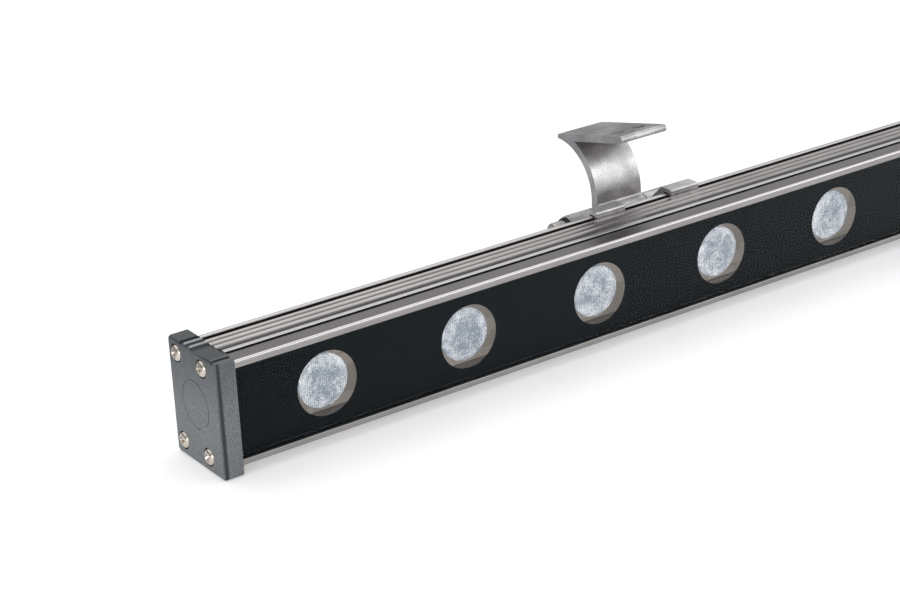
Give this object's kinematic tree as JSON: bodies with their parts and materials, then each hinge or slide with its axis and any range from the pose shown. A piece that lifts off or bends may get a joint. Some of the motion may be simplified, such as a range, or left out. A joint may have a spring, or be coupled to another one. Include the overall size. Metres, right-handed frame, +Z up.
{
  "type": "outdoor wall washer light",
  "caption": "Long slim outdoor wall washer: fluted metal profile, black glass with round lens windows, screwed end caps, and sliding, tilting brackets.",
  "frame": {"origin": "middle of the object's whole length and depth, brackets and gland included, on its base", "axes": "+X along the light to the cable gland, +Y from the glass to the brackets, +Z up"},
  "size_m": [1.0174, 0.0558, 0.0647],
  "materials": {
    "profile": "fine satin anodised, with bright cut edges",
    "glass": "clear tempered glass",
    "black_print": "black ceramic print behind the glass",
    "rubber": "matte silicone rubber",
    "cap": "grey powder coat, smooth on the end and fine hammered on the sides",
    "nickel": "bright nickel plate",
    "steel": "bright stainless steel",
    "black_steel": "black oxide steel",
    "board": "beige grey solder mask on an aluminium board",
    "wire": "red insulated wire",
    "emitter": "yellow phosphor under a silicone dome",
    "holder": "white moulded plastic",
    "chip": "black moulded package",
    "lens": "clear acrylic with a fine beaded face",
    "bracket": "fine satin anodised"
  },
  "bodies": {
    "light": {"housing": "profile", "front_glass": "glass", "glass_print": "black_print", "glass_seal_top": "rubber", "glass_seal_bottom": "rubber", "end_cap_left": "cap", "end_cap_right": "cap", "cap_gasket_left": "rubber", "cap_gasket_right": "rubber", "cap_screws_left": "nickel", "cap_screws_right": "nickel", "led_board_left": "board", "led_board_right": "board", "board_screws": "steel", "board_link": "wire", "emitters": "emitter", "lens_holders": "holder", "driver_chips": "chip", "terminal_block": "holder", "gland_body": "nickel", "gland_ring": "rubber", "gland_seal": "rubber", "gland_nut": "nickel", "lens_01": "lens", "lens_02": "lens", "lens_03": "lens", "lens_04": "lens", "lens_05": "lens", "lens_06": "lens", "lens_07": "lens", "lens_08": "lens", "lens_09": "lens", "lens_10": "lens", "lens_11": "lens", "lens_12": "lens", "lens_13": "lens", "lens_14": "lens", "lens_15": "lens", "lens_16": "lens", "lens_17": "lens", "lens_18": "lens"},
    "clip_a": {"clip_a": "bracket", "hinge_bolt_a": "steel", "spring_washer_a": "steel", "flat_washer_a": "steel", "hinge_nut_a": "steel", "lock_screws_a": "black_steel"},
    "arm_a": {"arm_a": "bracket"},
    "clip_b": {"clip_b": "bracket", "hinge_bolt_b": "steel", "spring_washer_b": "steel", "flat_washer_b": "steel", "hinge_nut_b": "steel", "lock_screws_b": "black_steel"},
    "arm_b": {"arm_b": "bracket"}
  },
  "joints": [
    {"name": "bracket_a_slide", "type": "slide", "parent": "light", "child": "clip_a", "axis": [1, 0, 0], "range_m": [-0.15, 0.285]},
    {"name": "bracket_a_tilt", "type": "hinge", "parent": "clip_a", "child": "arm_a", "pos_m": [-0.32535, 0.0062, 0.0312], "axis": [1, 0, 0], "range_deg": [-140, 50]},
    {"name": "bracket_b_slide", "type": "slide", "parent": "light", "child": "clip_b", "axis": [1, 0, 0], "range_m": [-0.285, 0.15]},
    {"name": "bracket_b_tilt", "type": "hinge", "parent": "clip_b", "child": "arm_b", "pos_m": [0.30965, 0.0062, 0.0312], "axis": [1, 0, 0], "range_deg": [-140, 50]}
  ]
}
